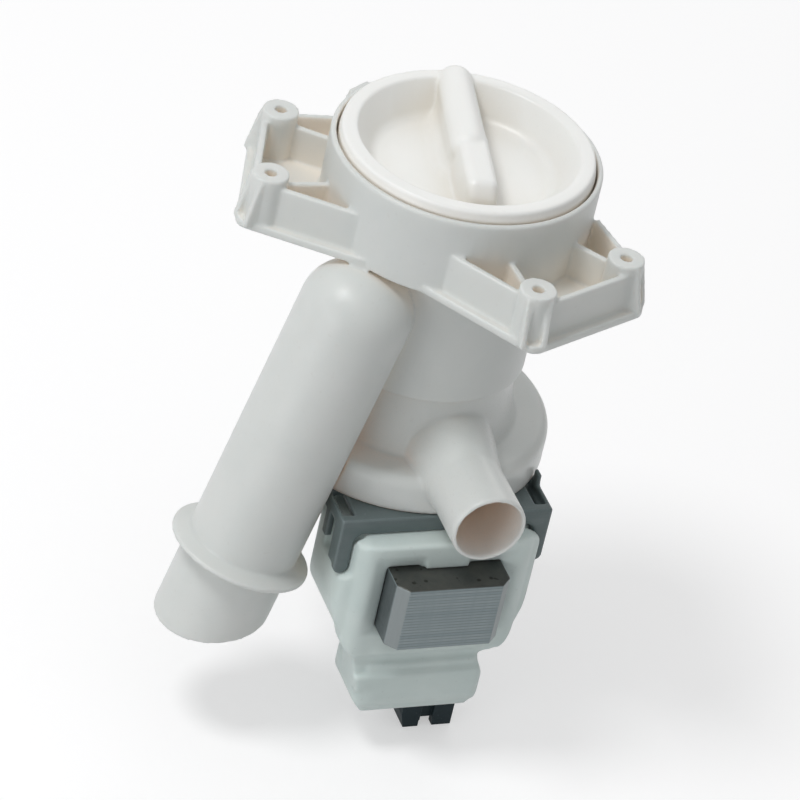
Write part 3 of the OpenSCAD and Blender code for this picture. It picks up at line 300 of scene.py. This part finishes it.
# Tilts are how squarely a face meets an axis: 1 is square, 0 runs along it
coreLook = dict(pitch=21.6 / 21, start=-124.85, width=0.16, wornJoint=0.35, streakShare=0.35,
                sheet=(0.215, 0.262, 0.275), sheetSecond=(0.26, 0.305, 0.315), streak=(0.17, 0.21, 0.22),
                # The corner colour lightens the chamfers, a painted highlight, and the flank colour darkens the side
                # faces, painted shade
                joint=(0.125, 0.155, 0.165), corner=(0.25, 0.28, 0.285), flank=(0.12, 0.14, 0.145),
                oxide=(0.060, 0.066, 0.062), oxideSecond=(0.095, 0.098, 0.088), speckAndDimpleShade=(0.025, 0.023, 0.02),
                flatTilt=(0.6, 0.8), squareTilt=(0.9, 0.97), cornerFrom=(0.5, 0.6), cornerTo=(0.9, 0.8),
                # Dark discs at these dimples, in the speck colour, are painted shade in their hollows
                dimples=((-12.0, -53.3, -103.25), (-8.2, -52.8, -103.25), (7.6, -53.9, -103.25),
                         (11.5, -53.4, -103.25)), dimpleSpan=(0.75, 0.45),
                flatGrain=dict(Fine_Scale=1800.0, Broad_Scale=120.0, Speck_Scale=420.0),
                sideGrain=dict(Fine_Scale=900.0, Broad_Scale=260.0, Stretch=(1.0, 1.0, 0.12)),
                edge=0.05, depth=0.03, smoothest=0.36, roughest=0.52, metallic=0.45)


# Sheared sheet edges: joints on the front, a painted highlight on the chamfers and painted shade on the flanks
def sheetEdges(tree, look, tilts, streaks):
    sheets = placeGroup(tree, sheetLines, Pitch=look["pitch"] * mm, Start=look["start"] * mm, Width=look["width"])
    isFront = rangeNode(tree, tilts["Y"], *look["squareTilt"])
    sheetPick = mathNode(tree, "MULTIPLY", sheets.outputs["Sheet"], isFront)
    sheetTone = mixColour(tree, sheetPick, look["sheet"], look["sheetSecond"])
    streakPick = mathNode(tree, "MULTIPLY", streaks.outputs["Tone"], look["streakShare"])
    streaked = mixColour(tree, streakPick, sheetTone, look["streak"])
    # Chamfers get a lighter colour as a painted highlight, side faces a darker one as painted shade
    isCorner = mathNode(tree, "MULTIPLY", rangeNode(tree, tilts["X"], *look["cornerFrom"]),
                        rangeNode(tree, tilts["X"], *look["cornerTo"]))
    cornered = mixColour(tree, isCorner, streaked, look["corner"])
    isFlank = rangeNode(tree, tilts["X"], *look["squareTilt"])
    flanked = mixColour(tree, isFlank, cornered, look["flank"])
    worn = rangeNode(tree, streaks.outputs["Tone"], 0.0, 1.0, 1.0, look["wornJoint"])
    lines = mathNode(tree, "MULTIPLY", mathNode(tree, "MULTIPLY", sheets.outputs["Joint"], isFront), worn)
    return mixColour(tree, lines, flanked, look["joint"])


# Dull oxide on the flat faces, with specks, and dark discs at the punched dimples that paint the shade in their
# hollows
def sheetFace(tree, look):
    grain = placeGroup(tree, surfaceGrain, **look["flatGrain"])
    oxide = mixColour(tree, grain.outputs["Tone"], look["oxide"], look["oxideSecond"])
    place, specksAndDimpleShade = objectPlace(tree), grain.outputs["Specks"]
    rim, floor = (radius * mm for radius in look["dimpleSpan"])
    for dimple in look["dimples"]:
        away = newNode(tree, "ShaderNodeVectorMath", operation="DISTANCE")
        joinNodes(tree, place, away.inputs[0])
        away.inputs[1].default_value = [value * mm for value in dimple]
        specksAndDimpleShade = mathNode(tree, "MAXIMUM", specksAndDimpleShade, rangeNode(tree, away.outputs["Value"], rim, floor))
    return mixColour(tree, specksAndDimpleShade, oxide, look["speckAndDimpleShade"])


# Lamination stack
def makeLaminations(name, look):
    material, tree, shader = startMaterial(name)
    streaks = placeGroup(tree, surfaceGrain, **look["sideGrain"])
    edge = placeGroup(tree, softEdge, Radius=look["edge"] * mm, Depth=look["depth"] * mm)
    joinNodes(tree, streaks.outputs["Grain"], edge.inputs["Height"])
    facing = splitAxes(tree, newNode(tree, "ShaderNodeNewGeometry").outputs["True Normal"])
    tilts = {axis: mathNode(tree, "ABSOLUTE", facing[axis]) for axis in ("X", "Y", "Z")}
    isFlat = rangeNode(tree, tilts["Z"], *look["flatTilt"])
    colour = mixColour(tree, isFlat, sheetEdges(tree, look, tilts, streaks), sheetFace(tree, look))
    finishSurface(tree, shader, colour, streaks, edge, look["smoothest"], look["roughest"])
    setInputs(shader, Metallic=look["metallic"])
    return material


windingLook = dict(scale=420.0, distortion=1.2, detail=1.0, gap=(0.16, 0.05, 0.02), wire=(0.62, 0.27, 0.12),
                   edge=0.8, depth=0.12, metallic=0.85, rough=0.3)


# Enamelled wire wound round a leg that runs along Y
def makeWinding(name, look):
    material, tree, shader = startMaterial(name)
    wave = newNode(tree, "ShaderNodeTexWave", wave_type="BANDS", bands_direction="Y", wave_profile="SIN")
    setInputs(wave, Scale=look["scale"], Distortion=look["distortion"], Detail=look["detail"])
    joinNodes(tree, objectPlace(tree), wave.inputs["Vector"])
    edge = placeGroup(tree, softEdge, Radius=look["edge"] * mm, Depth=look["depth"] * mm)
    joinNodes(tree, wave.outputs["Fac"], edge.inputs["Height"])
    # Colour runs from the wire's tone to a dark one between the turns: painted shade in the grooves between turns
    joinNodes(tree, mixColour(tree, wave.outputs["Fac"], look["gap"], look["wire"]), shader.inputs["Base Color"])
    joinNodes(tree, edge.outputs["Normal"], shader.inputs["Normal"])
    setInputs(shader, Metallic=look["metallic"], Roughness=look["rough"])
    return material


# Crease colours above 1 paint a glow into the creases, and those below 1 paint shade
looks = {
    # The edge colour in every look below is a painted highlight on the rounded edges
    "housingWhite": dict(colour=(0.655, 0.68, 0.665), second=(0.685, 0.705, 0.69), edgeHighlight=(0.80, 0.815, 0.80),
                         speckColour=(0.50, 0.47, 0.43), fine=2600.0, broad=38.0, edge=0.55, depth=0.012,
                         edgeHighlightShare=0.35, specks=0.10, rough=0.37, scatter=0.45, scatterReach=4.0,
                         creaseShadeAndGlow=(1.42, 1.26, 1.15), creaseShare=0.95, creaseReach=18.0,
                         creaseOpen=0.60, creaseDeep=0.20),
    "capWhite": dict(colour=(0.885, 0.89, 0.87), second=(0.90, 0.905, 0.885), edgeHighlight=(0.90, 0.90, 0.885),
                     speckColour=(0.55, 0.52, 0.47), fine=2200.0, broad=30.0, edge=0.6, depth=0.008,
                     edgeHighlightShare=0.35, specks=0.06, rough=0.34, scatter=0.15, scatterReach=2.0,
                     creaseShadeAndGlow=(0.84, 0.795, 0.735), creaseShare=0.8, creaseReach=14.0,
                     creaseOpen=0.92, creaseDeep=0.50),
    "basketWhite": dict(colour=(0.76, 0.75, 0.71), second=(0.79, 0.78, 0.74), edgeHighlight=(0.83, 0.82, 0.80),
                        speckColour=(0.5, 0.47, 0.42), fine=2500.0, broad=60.0, edge=0.25, depth=0.01,
                        edgeHighlightShare=0.3, specks=0.1, rough=0.42, scatter=0.08),
    "sealRubber": dict(colour=(0.022, 0.022, 0.024), second=(0.035, 0.035, 0.036), edgeHighlight=(0.06, 0.06, 0.06),
                       speckColour=(0.1, 0.1, 0.1), fine=3500.0, broad=90.0, edge=0.3, depth=0.03,
                       edgeHighlightShare=0.4, specks=0.2, rough=0.72),
    "impellerGrey": dict(colour=(0.10, 0.125, 0.15), second=(0.12, 0.145, 0.17), edgeHighlight=(0.2, 0.22, 0.25),
                         speckColour=(0.2, 0.2, 0.2), fine=2500.0, broad=80.0, edge=0.3, depth=0.015,
                         edgeHighlightShare=0.4, specks=0.15, rough=0.45),
    "naturalNylon": dict(colour=(0.66, 0.63, 0.54), second=(0.70, 0.68, 0.60), edgeHighlight=(0.76, 0.74, 0.68),
                         speckColour=(0.4, 0.36, 0.3), fine=2200.0, broad=60.0, edge=0.3, depth=0.015,
                         edgeHighlightShare=0.3, specks=0.15, rough=0.45, scatter=0.1),
    "canGrey": dict(colour=(0.085, 0.105, 0.115), second=(0.10, 0.12, 0.13), edgeHighlight=(0.18, 0.2, 0.21),
                    speckColour=(0.2, 0.2, 0.2), fine=2500.0, broad=70.0, edge=0.3, depth=0.02,
                    edgeHighlightShare=0.4, specks=0.2, rough=0.5),
    "bracketGrey": dict(colour=(0.100, 0.134, 0.136), second=(0.122, 0.156, 0.158), edgeHighlight=(0.33, 0.39, 0.40),
                        speckColour=(0.22, 0.24, 0.25), fine=1900.0, broad=110.0, edge=1.0, depth=0.03,
                        edgeHighlightShare=0.7, specks=0.35, rough=0.46, stretch=(1.0, 1.0, 2.2)),
    "overmouldGreen": dict(colour=(0.60, 0.69, 0.672), second=(0.65, 0.735, 0.715), edgeHighlight=(0.74, 0.79, 0.77),
                           speckColour=(0.33, 0.36, 0.34), fine=1700.0, broad=55.0, edge=0.9, depth=0.02,
                           edgeHighlightShare=0.35, specks=0.12, rough=0.44, scatter=0.3, scatterReach=4.0),
    "connectorSlate": dict(colour=(0.010, 0.021, 0.026), second=(0.016, 0.028, 0.034), edgeHighlight=(0.09, 0.12, 0.13),
                           speckColour=(0.12, 0.14, 0.15), fine=2200.0, broad=120.0, edge=0.3, depth=0.02,
                           edgeHighlightShare=0.45, specks=0.2, rough=0.55, ior=1.3),
    "fuseShell": dict(colour=(0.55, 0.52, 0.42), second=(0.6, 0.57, 0.47), edgeHighlight=(0.7, 0.68, 0.6),
                      speckColour=(0.3, 0.28, 0.22), fine=2200.0, broad=120.0, edge=0.2, depth=0.01,
                      edgeHighlightShare=0.3, specks=0.1, rough=0.4),
    "ferriteBlack": dict(colour=(0.035, 0.035, 0.038), second=(0.05, 0.05, 0.052), edgeHighlight=(0.1, 0.1, 0.1),
                         speckColour=(0.14, 0.14, 0.14), fine=1500.0, broad=140.0, edge=0.3, depth=0.03,
                         edgeHighlightShare=0.4, specks=0.4, rough=0.55),
}
metals = {
    "groundSteel": dict(colour=(0.56, 0.57, 0.58), second=(0.62, 0.63, 0.64), edgeHighlight=(0.8, 0.8, 0.8),
                        fine=900.0, broad=200.0, edge=0.15, depth=0.006, metallic=1.0, rough=0.24,
                        stretch=(1.0, 1.0, 6.0)),
    "sinteredBush": dict(colour=(0.32, 0.25, 0.15), second=(0.38, 0.30, 0.19), edgeHighlight=(0.55, 0.45, 0.3),
                         fine=3000.0, broad=400.0, edge=0.15, depth=0.03, metallic=0.9, rough=0.5),
    "bladeTin": dict(colour=(0.55, 0.54, 0.51), second=(0.62, 0.61, 0.58), edgeHighlight=(0.8, 0.79, 0.76),
                     fine=1200.0, broad=260.0, edge=0.1, depth=0.008, metallic=1.0, rough=0.3,
                     stretch=(1.0, 1.0, 0.2)),
}

# Same plastic as the housing, with a stronger warm painted glow deep inside the outlet, standing in for light through
# the wall
looks["chamberWhite"] = dict(looks["housingWhite"], creaseShadeAndGlow=(1.48, 1.11, 0.94), creaseReach=30.0,
                             creaseOpen=0.42, creaseDeep=0.08, rough=0.30)

made = {name: makeMoulded(name, look) for name, look in looks.items()}
made.update({name: makeMetal(name, look) for name, look in metals.items()})
made["coreSteel"] = makeLaminations("coreSteel", coreLook)
made["copperWinding"] = makeWinding("copperWinding", windingLook)

finishOf = {
    "filter_housing": "housingWhite", "flange_right": "housingWhite", "flange_left": "housingWhite",
    "inlet_pipe": "housingWhite", "pump_chamber": "chamberWhite", "filter_cap": "capWhite",
    "cap_gasket": "sealRubber", "lint_filter": "basketWhite", "impeller": "impellerGrey",
    "drive_dog": "naturalNylon", "rotor_shaft": "groundSteel", "rotor_magnet": "ferriteBlack",
    "thrust_washer": "naturalNylon", "chamber_gasket": "sealRubber", "rotor_can": "canGrey",
    "bearing_plug": "naturalNylon", "front_bearing": "sinteredBush", "front_bearing_seat": "sealRubber",
    "rear_bearing": "sinteredBush", "rear_bearing_seat": "sealRubber", "motor_bracket": "bracketGrey",
    "stator_core": "coreSteel", "coil_bobbin": "naturalNylon", "coil_left": "copperWinding",
    "coil_right": "copperWinding", "thermal_fuse": "fuseShell", "stator_housing": "overmouldGreen",
    "terminal_connector": "connectorSlate", "terminal_blades": "bladeTin",
}
for nodeName, node in nodes.items():
    for slot in node.material_slots:
        slot.material = made[finishOf[nodeName]]
print("materials:", len(made))


def linkObject(name, data):
    thing = bpy.data.objects.new(name, data)
    bpy.context.scene.collection.objects.link(thing)
    return thing


# A prism is an outline in X and Z with a front and back in Y
def addPrism(raw, outline, front, back):
    rings = [[raw.verts.new((x * mm, depth * mm, z * mm)) for x, z in outline] for depth in (front, back)]
    faces = [raw.faces.new(rings[0]), raw.faces.new(rings[1][::-1])]
    for index in range(len(outline)):
        after = (index + 1) % len(outline)
        faces.append(raw.faces.new((rings[0][index], rings[1][index], rings[1][after], rings[0][after])))
    bmesh.ops.recalc_face_normals(raw, faces=faces)


def gatherSolids(name, sources, prisms):
    raw = bmesh.new()
    for source in sources:
        raw.from_mesh(nodes[source].data)
    for prism in prisms:
        addPrism(raw, **prism)
    mesh = bpy.data.meshes.new(name)
    raw.to_mesh(mesh)
    raw.free()
    return linkObject(name, mesh)


def fillWithVoxels(piece, label, voxel):
    fuse = piece.modifiers.new(label, "REMESH")
    fuse.mode = "VOXEL"
    fuse.voxel_size = voxel * mm


def cutAway(piece, cutter):
    notch = piece.modifiers.new("notch", "BOOLEAN")
    notch.operation = "DIFFERENCE"
    notch.solver = "EXACT"
    notch.object = cutter


def settleModifiers(piece):
    before = piece.data
    after = bpy.data.meshes.new_from_object(piece.evaluated_get(bpy.context.evaluated_depsgraph_get()))
    piece.modifiers.clear()
    piece.vertex_groups.clear()
    piece.data = after
    bpy.data.meshes.remove(before)


# Vertex group that eases the whole piece but a slab across an axis, which stays crisp
def holdCrisp(piece, place, along, reach, fade, share):
    group = piece.vertex_groups.new(name="ease")
    middle, axis = Vector(place) * mm, Vector(along)
    eased = []
    for vertex in piece.data.vertices:
        away = abs((vertex.co - middle).dot(axis)) / mm
        if away > reach + fade:
            eased.append(vertex.index)
        else:
            group.add([vertex.index], share + (1.0 - share) * max(0.0, (away - reach) / fade), "REPLACE")
    group.add(eased, 1.0, "REPLACE")
    return group.name


easeStep = 0.5  # how far each pass moves a vertex towards its neighbours


# One moulding fused from CAD nodes, with its edges and inner corners eased as a mould leaves them
def mouldPiece(name, sources, finish, slotName, voxel, passes, body="root", fillers=(), cuts=(), crisp=None):
    piece = gatherSolids(name, sources, fillers)
    if cuts:
        cutter = gatherSolids(name + "Cut", (), cuts)
        fillWithVoxels(piece, "solid", voxel)  # the cut needs one closed solid
        cutAway(piece, cutter)
    fillWithVoxels(piece, "fuse", voxel)
    settleModifiers(piece)
    if cuts:
        bpy.data.meshes.remove(cutter.data)  # takes the cutter with it
    ease = piece.modifiers.new("ease", "SMOOTH")
    ease.factor = easeStep
    ease.iterations = passes
    if crisp:
        ease.vertex_group = holdCrisp(piece, **crisp)
    settleModifiers(piece)
    piece.data.materials.clear()
    piece.data.materials.append(made[finish])
    piece.data.shade_smooth()
    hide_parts(*sources)
    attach(piece, body)
    print("moulded", name, len(piece.data.polygons))


# Web from the core frame's lower left corner to the terminal box, its right twin, the box's foot and front shoulder
statorFillers = (
    dict(outline=((-24.6, -132.0), (-22.9, -134.5), (-21.9, -139.0), (-21.2, -142.5), (-20.2, -147.0),
                  (-14.0, -147.0), (-14.0, -131.0)), front=-47.8, back=-37.0),
    dict(outline=((12.0, -131.0), (17.6, -133.0), (16.0, -136.2), (17.2, -139.5), (18.3, -144.0), (12.0, -147.0)),
         front=-47.6, back=-24.0),
    dict(outline=((-18.9, -149.0), (-18.0, -153.8), (-16.6, -155.5), (16.0, -155.5), (17.4, -153.8), (18.2, -149.0)),
         front=-48.4, back=-30.0),
    dict(outline=((-21.6, -140.8), (-20.4, -147.0), (18.2, -147.0), (17.2, -140.8)), front=-49.9, back=-44.0),
)
# Groove above the shoulder, and a clearance that leaves the bracket's left leg in view
statorCuts = (
    dict(outline=((-26.0, -134.2), (-26.0, -137.6), (22.0, -137.6), (22.0, -134.2)), front=-60.0, back=-47.1),
    dict(outline=((-34.0, -90.0), (-34.0, -108.4), (-29.6, -108.6), (-27.0, -106.5), (-27.0, -90.0)),
         front=-60.0, back=-41.2),
)
# Upright clip on the bracket's right edge, and the web behind the right leg
bracketFillers = (
    dict(outline=((30.5, -90.5), (30.7, -85.4), (31.8, -85.4), (31.9, -90.5)), front=-30.6, back=-27.4),
    dict(outline=((29.9, -104.0), (29.9, -92.0), (31.9, -92.0), (31.9, -104.0)), front=-37.4, back=-31.0),
)
mouldings = (
    dict(name="housingMoulding", sources=("filter_housing", "flange_right", "flange_left", "inlet_pipe"),
         finish="housingWhite", slotName="white_moulding", voxel=0.42, passes=4,
         crisp=dict(place=(-53.11, -23.46, -110.02), along=(-0.25678, -0.043892, -0.965473),  # the stop ring
                    reach=4.0, fade=3.0, share=0.15)),
    dict(name="chamberMoulding", sources=("pump_chamber",), finish="chamberWhite", slotName="white_moulding",
         voxel=0.5, passes=8),
    dict(name="capMoulding", sources=("filter_cap",), finish="capWhite", slotName="cap_white", voxel=0.4, passes=10,
         body="cap"),
    dict(name="statorMoulding", sources=("stator_housing",), finish="overmouldGreen", slotName="overmould_green",
         voxel=0.5, passes=13, fillers=statorFillers, cuts=statorCuts),
    dict(name="coreStack", sources=("stator_core",), finish="coreSteel", slotName="lamination_steel",
         voxel=0.3, passes=3),
    dict(name="bracketMoulding", sources=("motor_bracket",), finish="bracketGrey", slotName="bracket_grey",
         voxel=0.35, passes=3, fillers=bracketFillers),
)
for moulding in mouldings:
    mouldPiece(**moulding)


cameraLook = dict(place=(-0.4486, -0.9039, 0.63405), right=(0.9314, -0.3143, 0.1836),
                  down=(-0.0472, -0.6044, -0.7952), forward=(0.3609, 0.7320, -0.5778), lens=192.6, sensor=36.0,
                  nearest=0.05)


def addCamera(look):
    data = bpy.data.cameras.new("pumpCamera")
    data.lens = look["lens"]
    data.sensor_width = look["sensor"]
    data.clip_start = look["nearest"]
    eye = linkObject("pumpCamera", data)
    right, up, back = Vector(look["right"]), -Vector(look["down"]), -Vector(look["forward"])
    eye.rotation_mode = "QUATERNION"
    eye.rotation_quaternion = Matrix((right, up, back)).transposed().to_quaternion()
    eye.location = look["place"]
    bpy.context.scene.camera = eye


addCamera(cameraLook)


# Floor drop is the gap in metres under the pump's lowest point
studio = dict(floorSize=6.0, floorColour=(0.64, 0.64, 0.645), floorLift=0.44, floorDrop=0.0002, worldLight=0.48,
              lamps=(dict(name="keyLamp", place=(-0.60, -0.02, 1.08), aim=(0.0, 0.0, -0.07), size=0.38, power=6.7),
                     dict(name="fillLamp", place=(-0.88, -0.38, -0.06), aim=(0.0, -0.03, -0.12), size=0.5,
                          power=1.9),
                     dict(name="rimLamp", place=(0.5, 0.9, 0.5), aim=(0.0, 0.0, -0.07), size=0.8, power=1.4)))


# Plain paper that also glows a little where the camera or a reflection sees it
def addFloor(look, height):
    mesh = bpy.data.meshes.new("studioFloor")
    half = look["floorSize"] / 2
    corners = [(-half, -half, height), (half, -half, height), (half, half, height), (-half, half, height)]
    mesh.from_pydata(corners, [], [(0, 1, 2, 3)])
    floor = linkObject("studioFloor", mesh)
    material = bpy.data.materials.new("floorPaper")
    material.use_nodes = True
    tree = material.node_tree
    tree.nodes.clear()
    out = newNode(tree, "ShaderNodeOutputMaterial")
    paper = newNode(tree, "ShaderNodeBsdfDiffuse")
    setInputs(paper, Color=(*look["floorColour"], 1.0))
    glow = newNode(tree, "ShaderNodeEmission")
    setInputs(glow, Color=white)
    path = newNode(tree, "ShaderNodeLightPath")
    seen = mathNode(tree, "MAXIMUM", path.outputs["Is Camera Ray"], path.outputs["Is Glossy Ray"])
    joinNodes(tree, mathNode(tree, "MULTIPLY", seen, look["floorLift"]), glow.inputs["Strength"])
    both = newNode(tree, "ShaderNodeAddShader")
    joinNodes(tree, paper.outputs[0], both.inputs[0])
    joinNodes(tree, glow.outputs[0], both.inputs[1])
    joinNodes(tree, both.outputs[0], out.inputs["Surface"])
    mesh.materials.append(material)


def addLamp(look):
    data = bpy.data.lights.new(look["name"], "AREA")
    data.shape = "DISK"
    data.size = look["size"]
    data.energy = look["power"]
    lamp = linkObject(look["name"], data)
    lamp.location = look["place"]
    aim = Vector(look["aim"]) - Vector(look["place"])
    lamp.rotation_euler = aim.to_track_quat("-Z", "Y").to_euler()


# White where the camera sees it, softer where it lights the pump
def addWorld(look):
    world = bpy.data.worlds.new("studioWorld")
    bpy.context.scene.world = world
    world.use_nodes = True
    tree = world.node_tree
    tree.nodes.clear()
    out = newNode(tree, "ShaderNodeOutputWorld")
    sky = newNode(tree, "ShaderNodeBackground")
    setInputs(sky, Color=white)
    path = newNode(tree, "ShaderNodeLightPath")
    seen = mathNode(tree, "MAXIMUM", path.outputs["Is Camera Ray"], path.outputs["Is Transmission Ray"])
    joinNodes(tree, rangeNode(tree, seen, 0.0, 1.0, look["worldLight"], 1.0), sky.inputs["Strength"])
    joinNodes(tree, sky.outputs[0], out.inputs["Surface"])


addFloor(studio, cadBox[0][2] - studio["floorDrop"])
for lampLook in studio["lamps"]:
    addLamp(lampLook)
addWorld(studio)
bpy.context.scene.view_settings.view_transform = "Standard"
print("studio ready")
